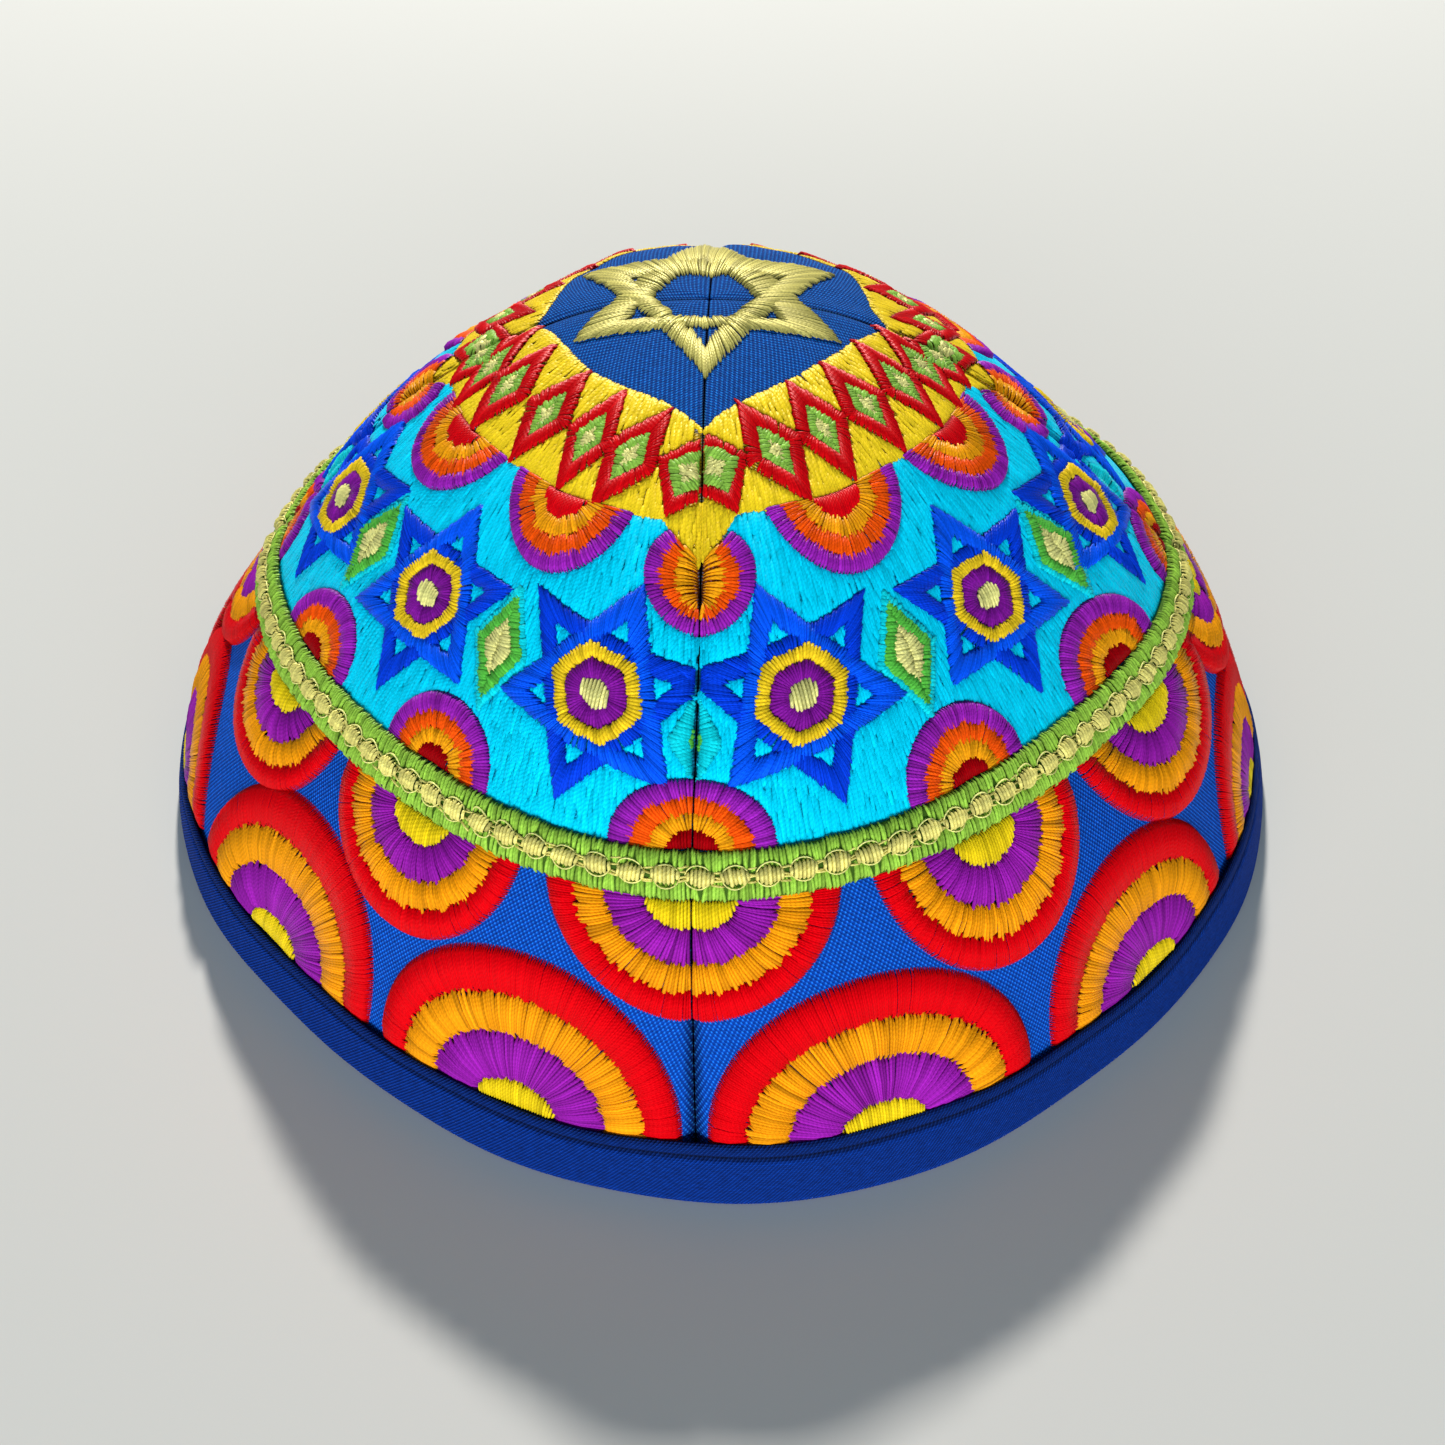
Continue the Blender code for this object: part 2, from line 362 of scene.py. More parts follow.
# Places where the rings of motifs start
BRAID_ARC = 78.3
BRAID_HALF = 2.95
FAN_FOOT = BRAID_ARC - BRAID_HALF + 0.1
HANG_TOP = BRAID_ARC + BRAID_HALF - 0.1
RIM_FOOT = float(arc_at_height(TAPE_TOP)) + 0.6

# Charts, with azimuths from the panel's own seam at the front or at the back.
# rim_arches, hanging: azimuth, half width, height, lean. fans: azimuth, half width, height.
# stars: azimuth, arc, tilt. lozenges: azimuth, arc. lattice: distance from the panel's middle, arc.
CHARTS = {
    "front_right": {
        "rim_arches": ((15.8, 22.2, 21.3, 0.0), (48.7, 20.9, 20.9, 0.0), (78.3, 16.8, 22.0, 0.1)),
        "hanging": ((31.6, 15.9, 18.3, 0.0), (61.8, 17.4, 17.8, 0.08)),
        "braid_fans": ((32.4, 9.5, 9.7), (61.3, 11.0, 10.1)),
        "band_fans": ((29.2, 9.6, 11.1), (64.4, 9.2, 10.9)),
        "stars": ((13.6, 58.0, 13.0), (47.6, 57.0, 0.0), (78.6, 57.6, -13.0)),
        "lozenges": ((30.3, 57.9), (64.6, 57.6)),
        "lattice": ((-20.9, 29.8), (-12.4, 28.2), (-4.8, 27.1), (2.6, 27.0), (10.2, 27.8),
                    (16.6, 29.0), (21.4, 30.6)),
        "crown_bulge": 0.085,
        "crown_corner": 24.0,
        "band_foot": 35.2,
    },
    "front_left": {
        "rim_arches": ((17.6, 22.0, 22.3, 0.0), (50.3, 21.6, 24.2, -0.12), (79.3, 16.0, 22.0, 0.1)),
        "hanging": ((32.8, 15.5, 16.3, 0.0), (61.8, 15.7, 15.3, 0.0)),
        "braid_fans": ((33.8, 9.2, 9.1), (61.5, 9.7, 9.3)),
        "band_fans": ((29.0, 9.4, 10.7), (63.9, 9.2, 10.6)),
        "stars": ((13.7, 58.3, 13.0), (47.0, 57.8, 0.0), (77.6, 58.0, -13.0)),
        "lozenges": ((30.3, 58.0), (63.7, 57.7)),
        "lattice": ((-21.4, 30.4), (-13.3, 29.3), (-6.7, 28.6), (1.4, 28.3), (10.0, 29.0),
                    (16.5, 30.0), (21.6, 31.4)),
        "crown_bulge": 0.165,
        "crown_corner": 24.0,
        "band_foot": 36.2,
    },
    "back": {
        "rim_arches": ((16.0, 21.8, 21.6, 0.0), (46.0, 19.6, 21.4, 0.0), (75.0, 19.4, 21.6, 0.0)),
        "hanging": ((30.6, 15.8, 17.2, 0.0), (60.2, 15.9, 17.0, 0.0)),
        "braid_fans": ((31.0, 9.6, 9.5), (60.0, 9.6, 9.5)),
        "band_fans": ((27.6, 9.4, 8.2), (62.4, 9.4, 8.8)),
        "stars": ((13.7, 58.0, 13.0), (45.2, 57.4, 0.0), (76.4, 58.0, -13.0)),
        "lozenges": ((29.6, 57.9), (60.8, 57.9)),
        "lattice": ((-22.4, 32.6), (-15.0, 31.6), (-7.6, 31.0), (0.0, 30.8), (7.6, 31.0),
                    (15.0, 31.6), (22.4, 32.2)),
        "crown_bulge": 0.34,
        "crown_corner": 29.2,
        "band_foot": 37.8,
    },
}

# Panels: chart, azimuth of the seam that it is measured from, and the way round
PANELS = {
    "front_right": ("front_right", 0, 1),
    "front_left": ("front_left", 0, -1),
    "back_right": ("back", 180, -1),
    "back_left": ("back", 180, 1),
}
SEAM_AZIMUTHS = (0, 90, 180, 270)
CROWN_CORNER = 24.0         # arc of the crown square's corners at the sides
HEXAGRAM_REACH = 14.6
HEXAGRAM_STROKE = 2.45
# Points of the gold star, right and to the front of the crown: two triangles
STAR_TIPS = (((-1.2, -20.5), (17.2, 6.8), (-17.6, 7.4)),
             ((0.3, 16.5), (16.8, -11.4), (-18.4, -11.4)))
STAR_HOLE = (-0.2, 1.5)     # how far the star's inner edges lie off the middle of its points


def crown_edge(chart, azimuth):
    """Arc of the crown square's edge at an azimuth from the panel's seam."""
    turn = np.radians(azimuth)
    flat = 1 / (np.cos(turn) / chart["crown_corner"] + np.sin(turn) / CROWN_CORNER)
    return flat * (1 + chart["crown_bulge"] * np.sin(2 * turn) ** 2)


def band_shift(chart, azimuth):
    """How much farther down the yellow band lies where the crown square is larger."""
    return 0.7 * (chart["crown_corner"] - CROWN_CORNER) * (1 - azimuth / 90)


def band_edge(chart, azimuth):
    """Arc of the yellow band's lower edge, which comes to a point on each seam."""
    near = np.minimum(azimuth, 90 - azimuth)
    return chart["band_foot"] + band_shift(chart, azimuth) + 5.6 * np.clip(1 - near / 7.5, 0, 1)


upper_shapes = []       # what the turquoise fill leaves free: a place and a test
band_shapes = []        # what the yellow fill leaves free


def hexagon_reach(angle, apothem):
    """How far a hexagon with corners at its sides reaches at an angle."""
    turned = np.mod(angle, math.pi / 3) - math.pi / 6
    return apothem / np.cos(turned)


def hexagon_ring(place, outer, inner, thread, rise):
    angle = even_angles(outer * 2, outer * 2, THREADS[thread][1] * 1.05) * 2
    reach = 0.75 * hexagon_reach(angle, outer) + 0.25 * outer * 1.08
    near = 0.55 * hexagon_reach(angle, inner) + 0.45 * inner
    far = reach + rng.uniform(-0.15, 0.25, angle.size)
    near = near - rng.uniform(0.0, 0.35, angle.size)
    place.sew(near * np.cos(angle), near * np.sin(angle), far * np.cos(angle),
              far * np.sin(angle), thread, rise=rise)


def triangle_strokes(sew_line, corners, depth, thread, rise, off=(0.0, 0.0)):
    """Satin stitches across a triangle's three strokes; depth is the inner edge's share.

    off moves the inner edges without the outer ones.
    """
    corners = np.array(corners)
    middle = corners.mean(0)
    spacing = THREADS[thread][1]
    for turn in range(3):
        start, end = corners[turn] - middle, corners[(turn + 1) % 3] - middle
        count = int(np.linalg.norm(end - start) / spacing)
        t = (np.arange(count) + 0.5) / count + rng.normal(0, 0.25 / count, count)

        def between(share, moved):
            line = start + (end - start) * t[:, None]
            return (middle + np.array(moved) + line * share[:, None]).T
        outer = between(1 + rng.uniform(-0.03, 0.015, count), (0.0, 0.0))
        inner = between(1 - depth - rng.uniform(-0.01, 0.06, count), off)
        sew_line(*outer, *inner, thread, rise=rise, flare=(1.0, 0.8))


def hexagram(place):
    """Royal blue star with a yellow and a purple ring and a knotted middle."""
    depth = 2 * HEXAGRAM_STROKE / HEXAGRAM_REACH
    for number, thread in enumerate(("deep_royal", "royal")):
        angles = np.radians(90 + 180 * number + 120 * np.arange(3))
        corners = HEXAGRAM_REACH * np.stack((np.cos(angles), np.sin(angles)), -1)
        triangle_strokes(place.sew, corners, depth, thread, 0.56 + 0.1 * number)
    hexagon_ring(place, 5.6, 3.9, "ring_yellow", 0.85)
    hexagon_ring(place, 4.0, 1.4, "ring_purple", 0.7)
    x = np.linspace(-1.6, 1.6, 8)
    half = 2.0 * np.sqrt(1 - (x / 2.2) ** 2) + rng.uniform(-0.3, 0.4, x.size)
    place.sew(x + 0.3, -half, x - 0.3, half, "pale_gold", rise=0.95)


def hexagram_test(x, y):
    inside = np.hypot(x, y) < 6.0
    for number in range(2):
        reach = np.max([x * math.cos(angle) + y * math.sin(angle) for angle in
                        np.radians(270 + 180 * number + 120 * np.arange(3))], axis=0)
        inside |= ((reach < HEXAGRAM_REACH / 2 - 0.4)
                   & (reach > HEXAGRAM_REACH / 2 - HEXAGRAM_STROKE + 0.1))
    return inside


def lozenge_rows(place, half_width, half_height, layers):
    """Rows of stitches across a lozenge; layers are thread and size shares, from outside in."""
    for number, (thread, size) in enumerate(layers):
        inner = layers[number + 1][1] if number + 1 < len(layers) else 0.0
        reach = half_height * size
        y = np.arange(-reach + 0.2, reach, THREADS[thread][1])
        y = y + rng.normal(0, 0.05, y.size)
        outer = half_width * np.clip(size - np.abs(y) / half_height, 0, 1)
        near = half_width * np.clip(inner - np.abs(y) / half_height, 0, 1)
        keep = outer - near > 0.1
        for side in (-1, 1):
            slip = 0.55 * np.sign(-y)
            far = side * (outer + rng.uniform(-0.1, 0.3, y.size))
            close = side * (near - rng.uniform(0.1, 0.5, y.size))
            place.sew(close[keep], (y + slip)[keep], far[keep], (y - 0.25 * slip)[keep], thread,
                      rise=0.7 + 0.08 * number, flare=(1.35, 1.35))


def lozenge_test(half_width, half_height, margin=-0.3):
    def inside(x, y):
        return np.abs(x) / (half_width + margin) + np.abs(y) / (half_height + 1.6 * margin) < 1
    return inside


# Half lengths and half widths of the lattice's lozenges, with and without their red border
LATTICE_TIP, GREEN_LENGTH, GREEN_WIDTH = 8.4, 4.4, 2.1
SEAM_TIP, SEAM_HALF, SEAM_GREEN_LENGTH, SEAM_GREEN_WIDTH = 6.1, 4.3, 3.9, 3.0


def lattice(seam, side, chart):
    """Green lozenges in a red lattice, which lean more the nearer they are to a seam."""
    rows = chart["lattice"]
    for number, (across, arc) in enumerate(rows):
        gaps = [abs(across - rows[other][0]) for other in (number - 1, number + 1)
                if 0 <= other < len(rows)]
        half_width, tip = sum(gaps) / 4 + 0.15, LATTICE_TIP
        green_width, green_length = GREEN_WIDTH, GREEN_LENGTH
        if len(gaps) == 1:
            half_width, tip = SEAM_HALF, SEAM_TIP
            green_width, green_length = SEAM_GREEN_WIDTH, SEAM_GREEN_LENGTH
        azimuth = 45 + math.degrees(across / radius(arc))
        lean = (45 - azimuth) / 27
        tilt = float(np.clip(20 * lean * abs(lean), -23, 23))
        arc = arc + band_shift(chart, azimuth)
        middle = Place(seam + side * azimuth, arc, side, tilt, (0.35 - azimuth, 89.65 - azimuth))
        band_shapes.append((middle, lozenge_test(half_width, tip, 0.0)))
        lozenge_rows(middle, green_width, green_length, (("pale_green", 1.0), ("pale_gold", 0.5)))
        count = int(math.hypot(half_width, tip) / THREADS["lattice_red"][1])
        for x_way in (-1, 1):
            for y_way in (-1, 1):
                t = (np.arange(count) + 0.5) / count + rng.normal(0, 0.012, count)
                far = 1 + rng.uniform(-0.01, 0.06, count)
                middle.sew(x_way * (green_width - 0.15) * t,
                           y_way * (green_length - 0.15) * (1 - t) - y_way * 0.5,
                           x_way * half_width * t * far, y_way * tip * (1 - t) * far,
                           "lattice_red", rise=0.55)


def fill(seam, side, thread, top, foot, shapes, row_height):
    """Long and short stitches down a panel between two edges, where no motif lies."""
    step = THREADS[thread][1]
    samples = 19
    span = np.arange(0, 90.1, 1.0)
    for start in np.arange(np.min(top(span)) - row_height, np.max(foot(span)), row_height):
        middle = start + row_height / 2
        count = int(radius(middle) * math.pi / 2 / step)
        azimuth = (np.arange(count) + rng.uniform(0.35, 0.65, count)) / count * 90
        stagger = np.where(np.arange(count) % 2, 0.25, -0.25) * row_height
        begin = start + stagger + rng.uniform(-0.25, 0.25, count) * row_height
        end = begin + row_height * rng.uniform(1.3, 1.7, count)
        slant = np.degrees(rng.normal(0.0, 0.14, count) / radius(middle))
        shares = np.linspace(0, 1, samples)
        arcs = begin[:, None] + (end - begin)[:, None] * shares
        turns = azimuth[:, None] + slant[:, None] * shares
        free = (arcs > top(turns)) & (arcs < foot(turns))
        whole = seam + side * turns
        for place, test in shapes:
            free &= ~test(*place.local(whole, arcs))
        starts, ends = longest_runs(free)
        keep = ends - starts >= 3
        pick = np.arange(count)[keep]
        first, last = starts[keep], ends[keep] - 1
        sew(whole[pick, first], arcs[pick, first], whole[pick, last], arcs[pick, last], thread,
            rise=0.24, flare=(1.45, 1.45))


def longest_runs(free):
    """Start and end of the longest free run in each row."""
    count, width = free.shape
    best_start = np.zeros(count, int)
    best_end = np.zeros(count, int)
    start = np.zeros(count, int)
    for column in range(width + 1):
        here = free[:, column] if column < width else np.zeros(count, bool)
        longer = ~here & (column - start > best_end - best_start)
        best_start[longer] = start[longer]
        best_end[longer] = column
        start[~here] = column + 1
    return best_start, best_end


def embroider_panel(name):
    chart_name, seam, side = PANELS[name]
    chart = CHARTS[chart_name]

    def at(azimuth, arc, tilt=0.0):
        return Place(seam + side * azimuth, arc, side, tilt)

    for azimuth, wide, tall, lean in chart["rim_arches"]:
        oval_rings(at(azimuth, RIM_FOOT), wide, tall, -1, RIM_RINGS, RIM_RISE, lean)
    for azimuth, wide, tall, lean in chart["hanging"]:
        oval_rings(at(azimuth, HANG_TOP), wide, tall, 1, HANGING_RINGS, RIM_RISE, lean)
    for azimuth, wide, tall in chart["braid_fans"]:
        place = at(azimuth, FAN_FOOT)
        oval_rings(place, wide, tall, -1, BRAID_FAN_RINGS, FAN_RISE)
        upper_shapes.append((place, oval_test(wide, tall, -1)))
    for azimuth, wide, tall in chart["band_fans"]:
        place = at(azimuth, chart["band_foot"] + band_shift(chart, azimuth) + 0.1)
        oval_rings(place, wide, tall, 1, BAND_FAN_RINGS, FAN_RISE)
        upper_shapes.append((place, oval_test(wide, tall, 1)))
    for azimuth, arc, tilt in chart["stars"]:
        place = at(azimuth, arc, tilt)
        hexagram(place)
        upper_shapes.append((place, hexagram_test))
    for azimuth, arc in chart["lozenges"]:
        place = at(azimuth, arc)
        lozenge_rows(place, 4.7, 8.6, (("teal", 1.0), ("leaf_green", 0.84), ("pale_gold", 0.52)))
        upper_shapes.append((place, lozenge_test(4.9, 8.6)))
    lattice(seam, side, chart)


def embroider_seam(seam):
    def at(arc):
        return Place(seam + float(seam_turn(arc)), arc)

    oval_rings(at(HANG_TOP), 18.1, 16.3, 1, HANGING_RINGS, RIM_RISE)
    place = at(FAN_FOOT)
    oval_rings(place, 10.2, 9.0, -1, BRAID_FAN_RINGS, FAN_RISE)
    upper_shapes.append((place, oval_test(10.2, 9.0, -1)))
    place = at(43.1)
    oval_rings(place, 6.8, 6.7, 1, SEAM_FAN_RINGS, (0.7, 0.66, 0.6), sweep=146)
    upper_shapes.append((place, lambda x, y: (x / 6.5) ** 2 + (y / 6.4) ** 2 < 1))
    place = at(62.0)
    lozenge_rows(place, 3.3, 5.6, (("teal", 1.0), ("leaf_green", 0.32)))
    upper_shapes.append((place, lozenge_test(3.3, 5.6)))


def crown_sew(x_a, y_a, x_b, y_b, thread, **options):
    """Sew between flat points of the crown; y runs towards the front."""
    sew(np.degrees(np.arctan2(x_a, y_a)), np.hypot(x_a, y_a),
        np.degrees(np.arctan2(x_b, y_b)), np.hypot(x_b, y_b), thread, **options)


def embroider_crown():
    for number, corners in enumerate(STAR_TIPS):
        triangle_strokes(crown_sew, corners, 0.38, "star_gold", 0.34 + 0.1 * number, STAR_HOLE)


def fill_panel(name):
    chart_name, seam, side = PANELS[name]
    chart = CHARTS[chart_name]
    fill(seam, side, "yellow", lambda a: crown_edge(chart, a) + 0.1,
         lambda a: band_edge(chart, a) + 0.6, band_shapes, 2.8)
    fill(seam, side, "turquoise", lambda a: band_edge(chart, a),
         lambda a: FAN_FOOT + 0.3 + 0 * a, upper_shapes, 3.0)


for panel in PANELS:
    embroider_panel(panel)
for seam_azimuth in SEAM_AZIMUTHS:
    embroider_seam(seam_azimuth)
for panel in PANELS:
    fill_panel(panel)
embroider_crown()


def split_at_seams(rows, gap=0.3):
    """Cut the stitches that cross a seam, and keep all of them a gap away from it."""
    turn_a, turn_b = rows[:, 0] - seam_turn(rows[:, 1]), rows[:, 2] - seam_turn(rows[:, 3])
    seam = 90 * np.round((turn_a + turn_b) / 180)
    from_a, from_b = turn_a - seam, turn_b - seam
    crosses = from_a * from_b < 0
    whole, cut = rows[~crosses].copy(), rows[crosses]
    side = np.sign(from_a + from_b)[~crosses]
    for azimuth_column, away in ((0, from_a[~crosses]), (2, from_b[~crosses])):
        arc = whole[:, azimuth_column + 1]
        edge = np.degrees(gap / np.maximum(radius(arc), 2.0))
        kept = side * np.maximum(np.abs(away), edge)
        whole[:, azimuth_column] += kept - away
    from_a, from_b, seam = from_a[crosses], from_b[crosses], seam[crosses]
    t = from_a / (from_a - from_b)
    arc = cut[:, 1] + t * (cut[:, 3] - cut[:, 1])
    edge = np.degrees(gap / np.maximum(radius(arc), 2.0))
    parts = [whole]
    for azimuth_column, arc_column, away in ((2, 3, from_a), (0, 1, from_b)):
        part = cut.copy()
        part[:, azimuth_column] = seam + seam_turn(arc) + np.sign(away) * edge
        part[:, arc_column] = arc
        long_enough = np.radians(np.abs(away)) * radius(arc) > 0.5
        parts.append(part[long_enough])
    return np.vstack(parts)


STATIONS = np.array((0.0, 0.15, 0.5, 0.85, 1.0))
STATION_LIFT = np.array((-0.05, 0.78, 1.0, 0.78, -0.05))
STATION_WIDTH = np.array((0.25, 0.95, 1.0, 0.95, 0.25))
# painted shade at each stitch's ends, where it dives into the cloth, and a painted sheen along its middle
STATION_SHADE_AND_SHEEN = np.array((0.72, 0.98, 1.05, 0.98, 0.72))
ACROSS = np.array((-0.5, 0.0, 0.5))
ACROSS_LIFT = np.array((0.0, 1.0, 0.0))


def stitch_arrays(rows):
    """Points, tints and thread coordinates of half-round stitches."""
    azimuth = rows[:, 0, None] + (rows[:, 2] - rows[:, 0])[:, None] * STATIONS
    arc = rows[:, 1, None] + (rows[:, 3] - rows[:, 1])[:, None] * STATIONS
    wide_a, wide_b, base, rise, thick = (rows[:, column, None, None] for column in range(4, 9))
    width = wide_a + (wide_b - wide_a) * STATIONS[:, None]
    middle, normal = dome(azimuth, arc)
    length = np.linalg.norm(middle[:, -1] - middle[:, 0], axis=-1) / MM
    low = np.clip(length / 2.2, 0.45, 1.0)[:, None, None]
    way = middle[:, -1] - middle[:, 0]
    way /= np.maximum(np.linalg.norm(way, axis=-1, keepdims=True), 1e-9)
    side = np.cross(normal, way[:, None, :])
    side /= np.maximum(np.linalg.norm(side, axis=-1, keepdims=True), 1e-9)
    out = base + rise * low * STATION_LIFT[:, None] + thick * ACROSS_LIFT
    over = width * STATION_WIDTH[:, None] * ACROSS
    points = middle[:, :, None, :] + MM * (normal[:, :, None, :] * out[..., None]
                                           + side[:, :, None, :] * over[..., None])
    # the tint carries painted shade on each stitch's long edges, where it meets its neighbours, and a
    # painted highlight along its ridge
    edges = 1.08 + (rows[:, 12, None] - 1.08) * 2 * np.abs(ACROSS)
    tint = rows[:, 9:12][:, None, None, :] * STATION_SHADE_AND_SHEEN[:, None, None] * edges[:, None, :, None]
    run = length[:, None, None] * STATIONS[:, None] * np.ones(3)
    twist = np.stack((run, ACROSS + 0 * run, rows[:, 0, None, None] * 7.3 + 0 * run), -1)
    return points, tint, twist


def strip_quads(count, stations, across):
    """Corner numbers of each quad, for a count of grids of stations by across points."""
    k, j = np.meshgrid(np.arange(stations - 1), np.arange(across - 1), indexing="ij")
    corner = (k * across + j).ravel()
    quad = np.stack((corner, corner + 1, corner + across + 1, corner + across), -1)
    start = np.arange(count)[:, None, None] * stations * across
    return (start + quad).reshape(-1, 4)


def add_mesh(name, points, quads, material, closed_smooth=True):
    """Object from arrays of points and of quads."""
    mesh = bpy.data.meshes.new(name)
    points = np.ascontiguousarray(points, np.float32).reshape(-1, 3)
    quads = np.ascontiguousarray(quads, np.int32)
    mesh.vertices.add(len(points))
    mesh.vertices.foreach_set("co", points.ravel())
    mesh.loops.add(quads.size)
    mesh.loops.foreach_set("vertex_index", quads.ravel())
    mesh.polygons.add(len(quads))
    mesh.polygons.foreach_set("loop_start", np.arange(0, quads.size, 4, dtype=np.int32))
    mesh.update(calc_edges=True)
    mesh.validate()
    if closed_smooth:
        mesh.shade_smooth()
    mesh.materials.append(material)
    piece = bpy.data.objects.new(name, mesh)
    bpy.context.collection.objects.link(piece)
    return piece


def add_colour(mesh, name, tints):
    layer = mesh.color_attributes.new(name, "FLOAT_COLOR", "POINT")
    tints = np.asarray(tints, np.float32).reshape(-1, 3)
    layer.data.foreach_set("color", np.column_stack((tints, np.ones(len(tints), np.float32))).ravel())


def add_vector(mesh, name, vectors):
    layer = mesh.attributes.new(name, "FLOAT_VECTOR", "POINT")
    layer.data.foreach_set("vector", np.asarray(vectors, np.float32).ravel())


def add_bake_map(mesh, count, stations, across):
    """Map that gives every stitch a cell of its own."""
    columns = max(1, int(math.sqrt(count * 2.4)))
    lines = math.ceil(count / columns)
    number = np.arange(count)
    left, foot = number % columns, number // columns
    along = np.linspace(0.08, 0.92, stations)
    wide = np.linspace(0.10, 0.90, across)
    u = (left[:, None, None] + wide + 0 * along[:, None]) / columns
    v = (foot[:, None, None] + along[:, None] + 0 * wide) / lines
    layer = mesh.uv_layers.new(name="OFBake")
    corners = np.zeros(len(mesh.loops), np.int32)
    mesh.loops.foreach_get("vertex_index", corners)
    layer.data.foreach_set("uv", np.stack((u.ravel(), v.ravel()), -1)[corners].astype(np.float32).ravel())


def new_material(name, roughness, **sockets):
    """Principled material, its shader, its nodes and its links."""
    material = bpy.data.materials.new(name)
    material.use_nodes = True
    nodes, links = material.node_tree.nodes, material.node_tree.links
    shader = nodes["Principled BSDF"]
    shader.inputs["Roughness"].default_value = roughness
    for socket, value in sockets.items():
        shader.inputs[socket.replace("_", " ").title().replace("Ior", "IOR")].default_value = value
    return material, shader, nodes, links


def math_node(nodes, links, operation, first, second=None):
    node = nodes.new("ShaderNodeMath")
    node.operation = operation
    for socket, value in zip(node.inputs, (first, second)):
        if value is None:
            continue
        if isinstance(value, (int, float)):
            socket.default_value = value
        else:
            links.new(value, socket)
    return node.outputs[0]


def thread_material(name, roughness, metallic, shine):
    """Twisted thread, coloured stitch by stitch, with a shine of its own colour."""
    material, shader, nodes, links = new_material(name, roughness)
    shader.inputs["Metallic"].default_value = metallic
    shader.inputs["Specular IOR Level"].default_value = shine
    tint = nodes.new("ShaderNodeAttribute")
    tint.attribute_name = "tint"
    twist = nodes.new("ShaderNodeAttribute")
    twist.attribute_name = "twist"
    parts = nodes.new("ShaderNodeSeparateXYZ")
    links.new(twist.outputs["Vector"], parts.inputs[0])
    slant = math_node(nodes, links, "MULTIPLY", parts.outputs["Y"], 0.5)
    along = math_node(nodes, links, "ADD", parts.outputs["X"], slant)
    phase = math_node(nodes, links, "MULTIPLY_ADD", along, 11.0)
    links.new(parts.outputs["Z"], nodes[-1].inputs[2])
    ply = math_node(nodes, links, "SINE", phase)
    shadow = math_node(nodes, links, "MULTIPLY_ADD", ply, 0.06)
    nodes[-1].inputs[2].default_value = 0.97
    scale = nodes.new("ShaderNodeVectorMath")
    scale.operation = "SCALE"
    links.new(tint.outputs["Color"], scale.inputs[0])
    links.new(shadow, scale.inputs["Scale"])
    links.new(scale.outputs[0], shader.inputs["Base Color"])
    links.new(tint.outputs["Color"], shader.inputs["Specular Tint"])
    bump = nodes.new("ShaderNodeBump")
    bump.inputs["Strength"].default_value = 0.2
    bump.inputs["Distance"].default_value = 0.00006
    links.new(ply, bump.inputs["Height"])
    links.new(bump.outputs[0], shader.inputs["Normal"])
    return material


